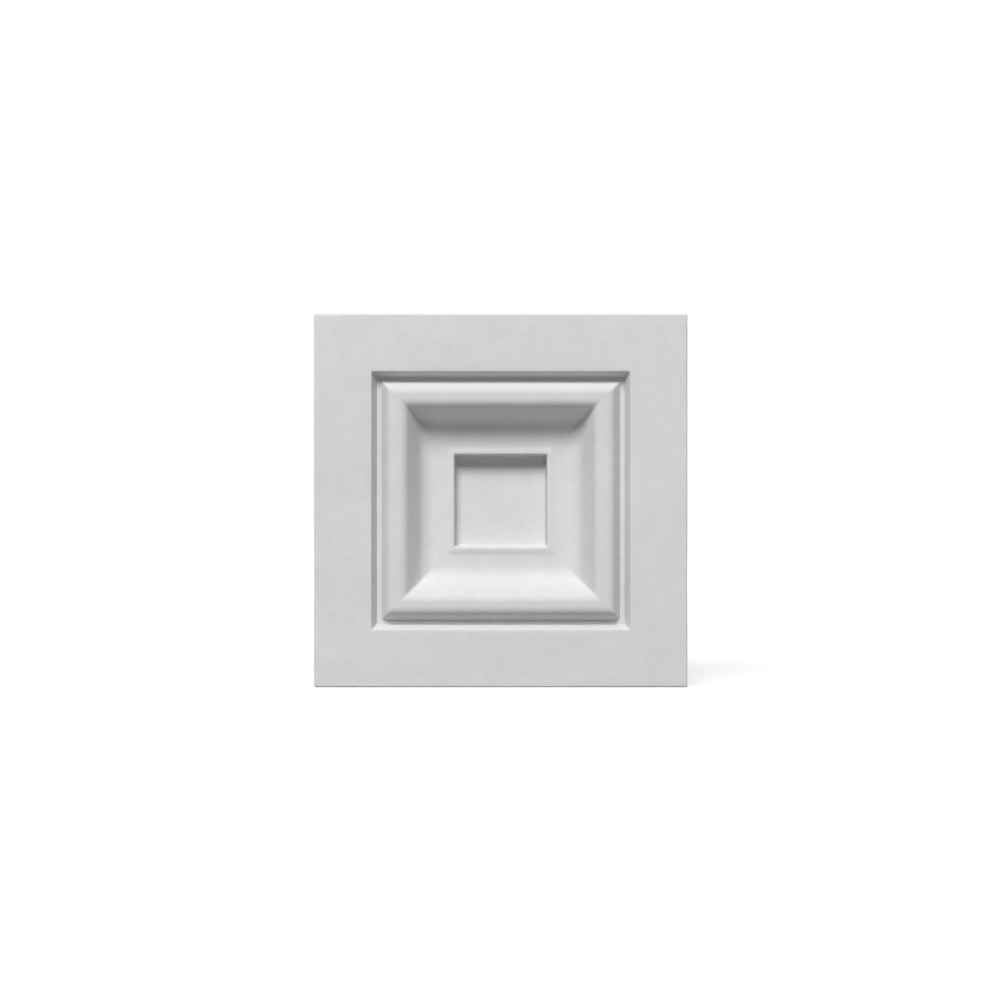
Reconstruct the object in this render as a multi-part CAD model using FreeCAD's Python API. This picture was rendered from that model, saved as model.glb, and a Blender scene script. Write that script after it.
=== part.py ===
import FreeCAD, Part
import math
import os

# Corner rosette block for door and window casings: one square cast block.
# The plain border frames a groove, a rounded crest, an ogee that falls to a low field,
# and a square recess in the middle. The front looks along -Y and the back lies on y = 0,
# with the origin at the middle of the back. Sizes are in millimetres and angles in degrees.

# Block
block_side = 95.0
block_thickness = 25.0  # from the back to the crest, the highest line of the front
outer_arris_radius = 0.5

# Groove and crest, outside the ogee; angles are from the border's face
groove_depth = 3.2  # below the border
groove_floor_width = 1.1
groove_outer_angle = 67.5
groove_inner_angle = 59.0
groove_arris_radius = 0.2
crest_above_border = 0.15
crest_width = 1.1  # level top between the two rounded sides of the crest
crest_outer_radius = 2.5

# Ogee and field, inside the crest
ogee_angle = 62.0  # of its straight flank, from the border's face
ogee_crest_radius = 2.7
ogee_flank = 5.5  # straight length between the two rounds
ogee_cove_radius = 4.7
field_width = 2.2  # level strip between the ogee and the lip

# Lip and recess, in the middle
lip_run = 1.8
lip_rise = 0.34  # above the field
rim_width = 0.9  # level top of the lip
rim_radius = 0.3
recess_side = 23.9
recess_depth = 4.4  # below the rim
recess_draft = 5.0
recess_floor_radius = 0.5


def round_run(radius, angle):
    """How far an arc that starts level reaches sideways while it turns through the angle."""
    return radius * math.sin(math.radians(angle))


def round_fall(radius, angle):
    """How far an arc that starts level falls while it turns through the angle."""
    return radius * (1 - math.cos(math.radians(angle)))


def run_of_fall(fall, angle):
    """How far a straight slope reaches sideways while it falls."""
    return fall / math.tan(math.radians(angle))


# Heights above the back
border_height = block_thickness - crest_above_border
groove_height = border_height - groove_depth
crest_round_end = block_thickness - round_fall(crest_outer_radius, groove_inner_angle)
flank_top = block_thickness - round_fall(ogee_crest_radius, ogee_angle)
flank_foot = flank_top - ogee_flank * math.sin(math.radians(ogee_angle))
field_height = flank_foot - round_fall(ogee_cove_radius, ogee_angle)
rim_height = field_height + lip_rise
floor_height = rim_height - recess_depth

# Distances from the middle of the block, outwards
recess_half = recess_side / 2
floor_half = recess_half - recess_depth * math.tan(math.radians(recess_draft))
rim_end = recess_half + rim_width
field_start = rim_end + lip_run
field_end = field_start + field_width
flank_start = field_end + round_run(ogee_cove_radius, ogee_angle)
flank_end = flank_start + run_of_fall(flank_top - flank_foot, ogee_angle)
crest_start = flank_end + round_run(ogee_crest_radius, ogee_angle)
crest_end = crest_start + crest_width
groove_side = crest_end + round_run(crest_outer_radius, groove_inner_angle)
groove_start = groove_side + run_of_fall(crest_round_end - groove_height, groove_inner_angle)
groove_end = groove_start + groove_floor_width
border_start = groove_end + run_of_fall(groove_depth, groove_outer_angle)
half_side = block_side / 2


def section_point(distance, height):
    """A point of the section through the lower half of the block."""
    return FreeCAD.Vector(0, -height, -distance)


def line(start, end):
    return Part.LineSegment(start, end).toShape()


def level_arc(level, other):
    """An arc that is level at its first point and ends at the other."""
    run = other.z - level.z
    rise = other.y - level.y
    radius = (run**2 + rise**2) / (2 * abs(rise))
    half_turn = math.atan2(abs(rise), abs(run))
    sag = math.copysign(radius * (1 - math.cos(half_turn)), rise)
    reach = math.copysign(radius * math.sin(half_turn), run)
    middle = level + FreeCAD.Vector(0, sag, reach)
    return Part.Arc(level, middle, other).toShape()


def eased_corner(before, corner, after, radius):
    """The arc that rounds a corner between two straight lines."""
    back = (before - corner).normalize()
    onward = (after - corner).normalize()
    inward = (back + onward).normalize()
    half_angle = back.getAngle(onward) / 2
    reach = radius / math.tan(half_angle)
    depth = radius / math.sin(half_angle) - radius
    return Part.Arc(corner + back * reach, corner + inward * depth, corner + onward * reach).toShape()


def start_of(edge):
    return edge.Vertexes[0].Point


def end_of(edge):
    return edge.Vertexes[-1].Point


def half_section():
    """The section from the middle of the block to its side, as a face."""
    back_middle = section_point(0, 0)
    back_edge = section_point(half_side, 0)
    border_edge = section_point(half_side, border_height)
    groove_top = section_point(border_start, border_height)
    groove_outer_foot = section_point(groove_end, groove_height)
    groove_inner_foot = section_point(groove_start, groove_height)
    crest_foot = section_point(groove_side, crest_round_end)
    crest_outer = section_point(crest_end, block_thickness)
    crest_inner = section_point(crest_start, block_thickness)
    ogee_upper = section_point(flank_end, flank_top)
    ogee_lower = section_point(flank_start, flank_foot)
    field_outer = section_point(field_end, field_height)
    field_inner = section_point(field_start, field_height)
    rim_outer = section_point(rim_end, rim_height)
    rim_inner = section_point(recess_half, rim_height)
    floor_edge = section_point(floor_half, floor_height)
    floor_middle = section_point(0, floor_height)

    groove_arris = eased_corner(border_edge, groove_top, groove_outer_foot, groove_arris_radius)
    rim_round = eased_corner(rim_outer, rim_inner, floor_edge, rim_radius)
    floor_round = eased_corner(rim_inner, floor_edge, floor_middle, recess_floor_radius)

    edges = [
        line(back_middle, back_edge),
        line(back_edge, border_edge),
        line(border_edge, start_of(groove_arris)),
        groove_arris,
        line(end_of(groove_arris), groove_outer_foot),
        line(groove_outer_foot, groove_inner_foot),
        line(groove_inner_foot, crest_foot),
        level_arc(crest_outer, crest_foot),
        line(crest_outer, crest_inner),
        level_arc(crest_inner, ogee_upper),
        line(ogee_upper, ogee_lower),
        level_arc(field_outer, ogee_lower),
        line(field_outer, field_inner),
        level_arc(field_inner, rim_outer),
        line(rim_outer, start_of(rim_round)),
        rim_round,
        line(end_of(rim_round), start_of(floor_round)),
        floor_round,
        line(end_of(floor_round), floor_middle),
        line(floor_middle, back_middle),
    ]
    return Part.Face(Part.Wire(Part.__sortEdges__(edges)))


def mitred_side():
    """The lower quarter of the block: the section run along the side, mitred at both ends."""
    along_side = FreeCAD.Vector(block_side, 0, 0)
    run = half_section().translated(FreeCAD.Vector(-half_side, 0, 0)).extrude(along_side)
    middle = FreeCAD.Vector(0, 0, 0)
    right_corner = FreeCAD.Vector(half_side, 0, -half_side)
    left_corner = FreeCAD.Vector(-half_side, 0, -half_side)
    between_mitres = Part.Face(Part.makePolygon([middle, right_corner, left_corner, middle]))
    return run.common(between_mitres.extrude(FreeCAD.Vector(0, -block_thickness, 0)))


def is_outer_arris(edge):
    """True on the four front edges of the outline and the four edges at its corners."""
    middle = edge.CenterOfMass
    across = sorted([abs(middle.x), abs(middle.z)])
    on_front = math.isclose(-middle.y, border_height) and math.isclose(across[1], half_side)
    on_corner = math.isclose(across[0], half_side) and math.isclose(across[1], half_side)
    return on_front or on_corner


def rosette_block():
    """Four mitred quarters as one casting, with its outer edges eased."""
    lower = mitred_side()
    middle = FreeCAD.Vector(0, 0, 0)
    depth_axis = FreeCAD.Vector(0, 1, 0)
    others = [lower.rotated(middle, depth_axis, turn) for turn in (90, 180, 270)]
    block = lower.multiFuse(others).removeSplitter().Solids[0]
    return block.makeFillet(outer_arris_radius, [edge for edge in block.Edges if is_outer_arris(edge)])


os.makedirs("parts", exist_ok=True)
rosette_block().exportStep("parts/rosette_block.step")
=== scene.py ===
import math

import bmesh
import bpy
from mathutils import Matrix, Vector


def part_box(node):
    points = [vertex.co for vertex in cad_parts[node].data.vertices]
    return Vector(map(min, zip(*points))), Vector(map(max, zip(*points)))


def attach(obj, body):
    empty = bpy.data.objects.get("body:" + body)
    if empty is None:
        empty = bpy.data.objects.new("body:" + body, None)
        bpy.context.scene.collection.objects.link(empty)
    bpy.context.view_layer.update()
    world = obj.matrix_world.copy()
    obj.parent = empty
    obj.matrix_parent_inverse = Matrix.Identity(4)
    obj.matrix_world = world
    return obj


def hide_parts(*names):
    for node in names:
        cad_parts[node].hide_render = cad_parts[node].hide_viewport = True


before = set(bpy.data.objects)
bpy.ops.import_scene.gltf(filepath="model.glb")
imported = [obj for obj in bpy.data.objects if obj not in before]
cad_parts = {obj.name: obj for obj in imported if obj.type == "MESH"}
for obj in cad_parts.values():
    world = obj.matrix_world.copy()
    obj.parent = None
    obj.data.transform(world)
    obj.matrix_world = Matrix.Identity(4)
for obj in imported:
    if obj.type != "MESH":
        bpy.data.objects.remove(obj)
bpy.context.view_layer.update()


# Casting body
# The block is one pour of rigid polyurethane foam in a square mould, solid and about as light as pine.
# It leaves the mould with a flat back and with its outer arrises slightly rounded.

box_low, box_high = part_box("rosette_block")
half_side = (box_high.x - box_low.x) / 2
crest_height = box_high.y - box_low.y
crest_above_border = 0.00015
border_height = crest_height - crest_above_border
outer_arris_radius = 0.0005
outer_arris_steps = 4

bpy.ops.object.select_all(action="DESELECT")
bpy.ops.mesh.primitive_cube_add(
    size=1,
    location=(0, -border_height / 2, 0),
    scale=(2 * half_side, border_height, 2 * half_side),
)
casting = bpy.context.object
casting.name = "rosette_casting"
bpy.ops.object.transform_apply(location=True, rotation=True, scale=True)


def select_edges(mesh, chosen):
    """Selects the edges that pass a test, and nothing else, in edit mode."""
    bpy.ops.mesh.select_mode(type="EDGE")
    bpy.ops.mesh.select_all(action="DESELECT")
    edited = bmesh.from_edit_mesh(mesh)
    for edge in edited.edges:
        edge.select_set(chosen(edge))
    edited.select_flush_mode()
    bmesh.update_edit_mesh(mesh)


def is_outer_arris(edge):
    """True off the back: the front edges of the outline and the edges at its corners."""
    return any(vert.co.y < -border_height / 2 for vert in edge.verts)


bpy.ops.object.mode_set(mode="EDIT")
select_edges(casting.data, is_outer_arris)
bpy.ops.mesh.bevel(offset=outer_arris_radius, segments=outer_arris_steps, profile=0.5, affect="EDGES")


# Front relief
# The mould's front is a set of square mouldings, each run straight and mitred at the four corners:
# a groove inside the plain border, a rounded crest, an ogee, a level field and a recess with a low lip.
# The front face is inset ring by ring along their common section.

groove_depth = 0.0032
groove_floor_width = 0.0011
groove_outer_angle = math.radians(67.5)
groove_inner_angle = math.radians(59)
groove_arris_radius = 0.0002
crest_width = 0.0011
crest_outer_radius = 0.0025

ogee_angle = math.radians(62)
ogee_crest_radius = 0.0027
ogee_flank = 0.0055
ogee_cove_radius = 0.0047
field_width = 0.0022

lip_run = 0.0018
lip_rise = 0.00034
rim_width = 0.0009
rim_radius = 0.0003
recess_half = 0.01195
recess_depth = 0.0044
recess_draft = math.radians(5)
recess_floor_radius = 0.0005
innermost_half = 0.001

longest_step = 0.0013
widest_turn = math.radians(6)
widest_eased_turn = math.radians(22.5)
parallel = 0.999


def arc_fall(radius, turn):
    """How far an arc that starts level falls while it turns."""
    return radius * (1 - math.cos(turn))


groove_height = border_height - groove_depth
crest_round_end = crest_height - arc_fall(crest_outer_radius, groove_inner_angle)
flank_top = crest_height - arc_fall(ogee_crest_radius, ogee_angle)
flank_foot = flank_top - ogee_flank * math.sin(ogee_angle)
field_height = flank_foot - arc_fall(ogee_cove_radius, ogee_angle)
rim_height = field_height + lip_rise
floor_height = rim_height - recess_depth

floor_half = recess_half - recess_depth * math.tan(recess_draft)
rim_end = recess_half + rim_width
field_start = rim_end + lip_run
field_end = field_start + field_width
flank_start = field_end + ogee_cove_radius * math.sin(ogee_angle)
flank_end = flank_start + ogee_flank * math.cos(ogee_angle)
crest_start = flank_end + ogee_crest_radius * math.sin(ogee_angle)
crest_end = crest_start + crest_width
groove_side = crest_end + crest_outer_radius * math.sin(groove_inner_angle)
groove_start = groove_side + (crest_round_end - groove_height) / math.tan(groove_inner_angle)
groove_end = groove_start + groove_floor_width
border_start = groove_end + groove_depth / math.tan(groove_outer_angle)


def straight(start, end):
    """Points from just after the start to the end of a straight stretch of the section."""
    steps = math.ceil((end - start).length / longest_step)
    return [start.lerp(end, step / steps) for step in range(1, steps + 1)]


def level_arc(level, other):
    """Points along an arc that is level at its first point."""
    run, rise = other - level
    radius = (run**2 + rise**2) / (2 * abs(rise))
    turn = 2 * math.atan2(abs(rise), abs(run))
    steps = math.ceil(turn / widest_turn)
    points = []
    for step in range(steps + 1):
        angle = turn * step / steps
        reach = math.copysign(radius * math.sin(angle), run)
        sag = math.copysign(arc_fall(radius, angle), rise)
        points.append(level + Vector((reach, sag)))
    return points


def eased_corner(before, corner, after, radius):
    """Points along the arc that rounds a corner between two straight stretches."""
    back = (before - corner).normalized()
    onward = (after - corner).normalized()
    half_angle = back.angle(onward) / 2
    centre = corner + (back + onward).normalized() * (radius / math.sin(half_angle))
    first = corner + back * (radius / math.tan(half_angle)) - centre
    last = corner + onward * (radius / math.tan(half_angle)) - centre
    steps = math.ceil(first.angle(last) / widest_eased_turn)
    return [centre + first.slerp(last, step / steps) * radius for step in range(steps + 1)]


def front_section():
    """The section of the front from the outline to the middle, as distance and height."""
    outline = Vector((half_side - outer_arris_radius, border_height))
    groove_top = Vector((border_start, border_height))
    groove_outer_foot = Vector((groove_end, groove_height))
    groove_inner_foot = Vector((groove_start, groove_height))
    crest_foot = Vector((groove_side, crest_round_end))
    crest_outer = Vector((crest_end, crest_height))
    crest_inner = Vector((crest_start, crest_height))
    ogee_upper = Vector((flank_end, flank_top))
    ogee_lower = Vector((flank_start, flank_foot))
    field_outer = Vector((field_end, field_height))
    field_inner = Vector((field_start, field_height))
    rim_outer = Vector((rim_end, rim_height))
    rim_inner = Vector((recess_half, rim_height))
    floor_edge = Vector((floor_half, floor_height))
    floor_middle = Vector((innermost_half, floor_height))

    groove_arris = eased_corner(outline, groove_top, groove_outer_foot, groove_arris_radius)
    rim_round = eased_corner(rim_outer, rim_inner, floor_edge, rim_radius)
    floor_round = eased_corner(rim_inner, floor_edge, floor_middle, recess_floor_radius)

    points = [outline]
    points += straight(outline, groove_arris[0])
    points += groove_arris[1:]
    points += straight(groove_arris[-1], groove_outer_foot)
    points += straight(groove_outer_foot, groove_inner_foot)
    points += straight(groove_inner_foot, crest_foot)
    points += reversed(level_arc(crest_outer, crest_foot)[:-1])
    points += straight(crest_outer, crest_inner)
    points += level_arc(crest_inner, ogee_upper)[1:]
    points += straight(ogee_upper, ogee_lower)
    points += reversed(level_arc(field_outer, ogee_lower)[:-1])
    points += straight(field_outer, field_inner)
    points += level_arc(field_inner, rim_outer)[1:]
    points += straight(rim_outer, rim_round[0])
    points += rim_round[1:]
    points += straight(rim_round[-1], floor_round[0])
    points += floor_round[1:]
    points += straight(floor_round[-1], floor_middle)
    return points


def select_faces(mesh, chosen):
    """Selects the faces that pass a test, and nothing else, in edit mode."""
    bpy.ops.mesh.select_mode(type="FACE")
    bpy.ops.mesh.select_all(action="DESELECT")
    edited = bmesh.from_edit_mesh(mesh)
    for face in edited.faces:
        face.select_set(chosen(face))
    bmesh.update_edit_mesh(mesh)


def looks_forward(face):
    return face.normal.y < -parallel


select_faces(casting.data, looks_forward)
section = front_section()
for outer, inner in zip(section, section[1:]):
    bpy.ops.mesh.inset(thickness=outer.x - inner.x, depth=inner.y - outer.y)


# Cast surface
# The master for the mould was run and mitred by hand, so its faces are true to a few hundredths of a
# millimetre only. Its mitres were filled and rubbed down, which leaves them slightly rounded.

shortest_run = 0.0015
cuts_along_a_side = 31
cuts_front_to_back = 7
mitre_tolerance = 0.000001
mitre_width = 0.0004
mitre_steps = 4
waviness_width = 0.016
waviness_depth = 0.00006
sharpest_smooth_angle = math.radians(28)


def runs_along_a_side(edge):
    """True on the long edges of the rings, which run level or upright between two mitres."""
    along = edge.verts[1].co - edge.verts[0].co
    return along.length > shortest_run and max(abs(along.x), abs(along.z)) > parallel * along.length


def runs_front_to_back(edge):
    """True on the edges of the sides that join the front to the back."""
    along = edge.verts[1].co - edge.verts[0].co
    return along.length > shortest_run and abs(along.y) > parallel * along.length


def is_sloping_mitre(edge):
    """True where two sloping faces of the relief meet on a diagonal of the block."""
    on_diagonal = all(abs(abs(vert.co.x) - abs(vert.co.z)) < mitre_tolerance for vert in edge.verts)
    in_relief = all(abs(vert.co.x) < border_start for vert in edge.verts)
    return on_diagonal and in_relief and not any(looks_forward(face) for face in edge.link_faces)


def is_on_front(face):
    """True inside the rounded arrises of the front."""
    reach = half_side - outer_arris_radius
    return all(max(abs(vert.co.x), abs(vert.co.z)) < reach and vert.co.y < 0 for vert in face.verts)


select_edges(casting.data, runs_along_a_side)
bpy.ops.mesh.subdivide(number_cuts=cuts_along_a_side)
select_edges(casting.data, runs_front_to_back)
bpy.ops.mesh.subdivide(number_cuts=cuts_front_to_back)
select_edges(casting.data, is_sloping_mitre)
bpy.ops.mesh.bevel(offset=mitre_width, segments=mitre_steps, profile=0.5, affect="EDGES")

select_faces(casting.data, is_on_front)
bpy.ops.object.vertex_group_add()
bpy.ops.object.vertex_group_assign()
bpy.ops.object.mode_set(mode="OBJECT")

waviness = bpy.data.textures.new("hand_finish", "CLOUDS")
waviness.noise_scale = waviness_width
waviness.noise_depth = 1
wavy = casting.modifiers.new("hand_finish", "DISPLACE")
wavy.texture = waviness
wavy.texture_coords = "LOCAL"
wavy.vertex_group = casting.vertex_groups.active.name
wavy.mid_level = 1
wavy.strength = waviness_depth
bpy.ops.object.modifier_apply(modifier=wavy.name)
bpy.ops.object.shade_smooth_by_angle(angle=sharpest_smooth_angle)


# Primer coat
# Two thin sprayed coats of matt grey primer, chalky and even, with a faint orange peel. Spray passes
# leave slight differences in tone, and the coat is rubbed paler on edges. Hollow corners get a little
# painted shade.
# The back is sanded flat, which leaves fine scratches and open pores.

primer_grey = 0.66
primer_gloss = 0.15
# How much the hollow corners are darkened: painted shade, not a tone of the primer.
painted_corner_shade_strength = 0.05
edge_paling = 0.035
thick_coat_roughness = 0.82
thin_coat_roughness = 0.7
edge_polish = 0.15
orange_peel_height = 0.000006
chalk_height = 0.0000015

sanded_grey = 0.68
sanded_rim = 0.0004
scratch_contrast = 0.012
scratch_height = 0.000005
pore_darkening = 0.22
pore_depth = 0.00008

flat_angle = math.pi / 2
shade_and_wear_angle = math.radians(30)

# A mask of hollows and arrises from the mesh's angles: the hollows get painted shade, the arrises get
# wear.
bpy.ops.geometry.color_attribute_add(
    name="shade_and_wear", domain="CORNER", data_type="FLOAT_COLOR", color=(1, 1, 1, 1)
)
bpy.ops.paint.vertex_color_dirt(
    blur_strength=1,
    blur_iterations=1,
    dirt_angle=flat_angle - shade_and_wear_angle,
    clean_angle=flat_angle + shade_and_wear_angle,
    normalize=False,
)
casting.data.attributes.active = casting.data.attributes["shade_and_wear"]
bpy.ops.geometry.attribute_convert(domain="POINT", data_type="FLOAT")

primer = bpy.data.materials.new("matt_primer")
primer.use_nodes = True
coat = primer.node_tree.nodes["Principled BSDF"]
coat.inputs["Specular IOR Level"].default_value = primer_gloss
place = primer.node_tree.nodes.new("ShaderNodeTexCoord").outputs["Object"]
shade_and_wear = primer.node_tree.nodes.new("ShaderNodeAttribute")
shade_and_wear.attribute_name = "shade_and_wear"


def node_after(value, kind, socket):
    """A new node of one kind, in the same material as the value that goes into one of its sockets."""
    tree = value.id_data
    node = tree.nodes.new(kind)
    tree.links.new(value, node.inputs[socket])
    return node


def ramp(value, low, high, start, end):
    """Carries a value from the range low to high over to the range start to end, eased and clamped."""
    node = node_after(value, "ShaderNodeMapRange", "Value")
    node.interpolation_type = "SMOOTHSTEP"
    node.inputs["From Min"].default_value = low
    node.inputs["From Max"].default_value = high
    node.inputs["To Min"].default_value = start
    node.inputs["To Max"].default_value = end
    return node.outputs["Result"]


def varied(vector, features_per_metre, low, high):
    """A cloudy noise, which seldom leaves 0.3 to 0.7, carried over to the range low to high."""
    node = node_after(vector, "ShaderNodeTexNoise", "Vector")
    node.inputs["Scale"].default_value = features_per_metre
    node.inputs["Detail"].default_value = 3
    return ramp(node.outputs["Fac"], 0.3, 0.7, low, high)


def stretched(vector, scale):
    """Coordinates that run faster along some axes than along others."""
    node = node_after(vector, "ShaderNodeMapping", "Vector")
    node.inputs["Scale"].default_value = scale
    return node.outputs["Vector"]


def combined(operation, first, *others):
    """Joins values one after the other by one arithmetic operation."""
    for other in others:
        node = node_after(first, "ShaderNodeMath", 0)
        node.operation = operation
        node.id_data.links.new(other, node.inputs[1])
        first = node.outputs["Value"]
    return first


def pits(vector, places_per_metre, share, radius):
    """1 in small round pits and 0 elsewhere: a share of the places has one, some of them shallow."""
    cells = node_after(vector, "ShaderNodeTexVoronoi", "Vector")
    cells.inputs["Scale"].default_value = places_per_metre
    draw = node_after(cells.outputs["Color"], "ShaderNodeSeparateColor", "Color")
    here = ramp(draw.outputs["Red"], 1 - share, 1 - 0.8 * share, 0, 1)
    return combined("MULTIPLY", ramp(cells.outputs["Distance"], 0.4 * radius, radius, 1, 0), here)


spray_passes = varied(stretched(place, (1, 1, 3)), 14, -0.012, 0.012)
mottle = varied(place, 170, -0.01, 0.01)
grain = varied(place, 620, -0.008, 0.008)
speckle = varied(place, 2600, -0.008, 0.008)
tone = combined("ADD", spray_passes, mottle, grain, speckle)

# The shade-and-wear mask is 0.5 on flat faces, less in hollow corners and more on arrises. Hollow corners
# are darkened as painted shade, arrises rubbed paler as wear.
painted_corner_shade = ramp(shade_and_wear.outputs["Fac"], 0.4, 0.49, -painted_corner_shade_strength, 0)
rubbed = combined("MULTIPLY", ramp(shade_and_wear.outputs["Fac"], 0.52, 0.6, 0, 1), varied(place, 90, 0.25, 1))

depth = node_after(place, "ShaderNodeSeparateXYZ", "Vector")
on_back = ramp(depth.outputs["Y"], -sanded_rim, 0, 0, 1)
sanding = varied(stretched(place, (1, 1, 16)), 120, -1, 1)
scratches = combined("MULTIPLY", sanding, varied(place, 45, 0.2, 1), on_back)
large_and_small_pores = combined("MAXIMUM", pits(place, 380, 0.5, 0.16), pits(place, 950, 0.3, 0.2))
pores = combined("MULTIPLY", large_and_small_pores, on_back)

grey = combined(
    "ADD",
    ramp(on_back, 0, 1, primer_grey, sanded_grey),
    tone,
    # painted shade in hollow corners
    painted_corner_shade,
    ramp(rubbed, 0, 1, 0, edge_paling),
    ramp(scratches, -1, 1, -scratch_contrast, scratch_contrast),
    ramp(pores, 0, 1, 0, -pore_darkening),
)
primer.node_tree.links.new(grey, coat.inputs["Base Color"])

coat_roughness = ramp(tone, -0.02, 0.02, thick_coat_roughness, thin_coat_roughness)
roughness = combined("ADD", coat_roughness, ramp(rubbed, 0, 1, 0, -edge_polish))
primer.node_tree.links.new(roughness, coat.inputs["Roughness"])

height = combined(
    "ADD",
    varied(place, 750, -orange_peel_height, orange_peel_height),
    varied(place, 3800, -chalk_height, chalk_height),
    ramp(scratches, -1, 1, -scratch_height, scratch_height),
    ramp(pores, 0, 1, 0, -pore_depth),
)
bump = node_after(height, "ShaderNodeBump", "Height")
bump.inputs["Distance"].default_value = 1
primer.node_tree.links.new(bump.outputs["Normal"], coat.inputs["Normal"])

casting.data.materials.append(primer)
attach(casting, "root")
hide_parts("rosette_block")


# Studio floor
# A plain sheet of pale paper carries the block and takes its soft shadow. To the viewer it glows up to
# white, more so away from the block, where it runs into the white surroundings.

paper_grey = 0.34
glow_by_block = 0.7
glow_start = 0.15
glow_end = 0.9
floor_side = 8

bpy.ops.object.select_all(action="DESELECT")
bpy.ops.mesh.primitive_plane_add(size=floor_side, location=(0, 0, box_low.z))
floor = bpy.context.object
floor.name = "studio_floor"
paper = bpy.data.materials.new("pale_paper")
paper.use_nodes = True
sheet = paper.node_tree.nodes["Principled BSDF"]
sheet.inputs["Base Color"].default_value = (paper_grey, paper_grey, paper_grey, 1)
sheet.inputs["Roughness"].default_value = 1
sheet.inputs["Specular IOR Level"].default_value = 0
floor_place = paper.node_tree.nodes.new("ShaderNodeTexCoord")
from_block = node_after(floor_place.outputs["Object"], "ShaderNodeVectorMath", 0)
from_block.operation = "LENGTH"
brightness = ramp(from_block.outputs["Value"], glow_start, glow_end, glow_by_block, 1)


def seen_directly(tree):
    """1 for what the viewer sees, also in a mirror or through glass, and 0 for light on other surfaces."""
    path = tree.nodes.new("ShaderNodeLightPath").outputs
    return combined("MAXIMUM", path["Is Camera Ray"], path["Is Glossy Ray"], path["Is Transmission Ray"])


glow_seen = combined("MULTIPLY", brightness, seen_directly(paper.node_tree))
glow = node_after(glow_seen, "ShaderNodeEmission", "Strength")
both = node_after(sheet.outputs["BSDF"], "ShaderNodeAddShader", 0)
paper.node_tree.links.new(glow.outputs["Emission"], both.inputs[1])
paper_output = paper.node_tree.nodes["Material Output"]
paper.node_tree.links.new(both.outputs["Shader"], paper_output.inputs["Surface"])
floor.data.materials.append(paper)


# Lamps and surroundings
# A round soft lamp above and a little to the left lights the front, as in the photo. Two low lamps
# behind light the sides and the back, and reach nothing in front.

faint_light = 0.02


def lamp(name, azimuth, elevation, distance, size, level):
    """A round soft lamp aimed at the block: level 1 lights a face turned to it at its own colour."""
    around, up = math.radians(azimuth), math.radians(elevation)
    toward = Vector((math.sin(around) * math.cos(up), -math.cos(around) * math.cos(up), math.sin(up)))
    bpy.ops.object.light_add(type="AREA", location=toward * distance)
    made = bpy.context.object
    made.name = name
    made.data.shape = "DISK"
    made.data.size = size
    made.data.energy = level * math.pi**2 * distance**2
    made.rotation_euler = toward.to_track_quat("Z", "Y").to_euler()


lamp("key_lamp", azimuth=-9.5, elevation=46.5, distance=2.8, size=1.27, level=1.17)
lamp("left_rear_lamp", azimuth=-135, elevation=8, distance=1.4, size=0.8, level=0.55)
lamp("right_rear_lamp", azimuth=135, elevation=8, distance=1.4, size=0.8, level=0.55)

world = bpy.data.worlds.new("studio")
bpy.context.scene.world = world
world.use_nodes = True
surroundings = world.node_tree.nodes["Background"]
surroundings.inputs["Color"].default_value = (1, 1, 1, 1)
strength = ramp(seen_directly(world.node_tree), 0, 1, faint_light, 1)
world.node_tree.links.new(strength, surroundings.inputs["Strength"])


# Camera
# It looks straight at the block's middle from the front, far enough off that the sides stay hidden, and
# frames the block as the photo does.

photo_side_px = 373.5
photo_width_px = 1000
photo_right_px = 0.75
photo_down_px = 0.6
lens = 100
sensor = 36
view_width = 2 * half_side * photo_width_px / photo_side_px
bpy.ops.object.camera_add(
    location=(0, -border_height - view_width * lens / sensor, 0), rotation=(math.pi / 2, 0, 0)
)
camera = bpy.context.object
camera.data.lens = lens
camera.data.sensor_width = sensor
camera.data.shift_x = -photo_right_px / photo_width_px
camera.data.shift_y = photo_down_px / photo_width_px
bpy.context.scene.camera = camera
bpy.context.scene.view_settings.view_transform = "Standard"
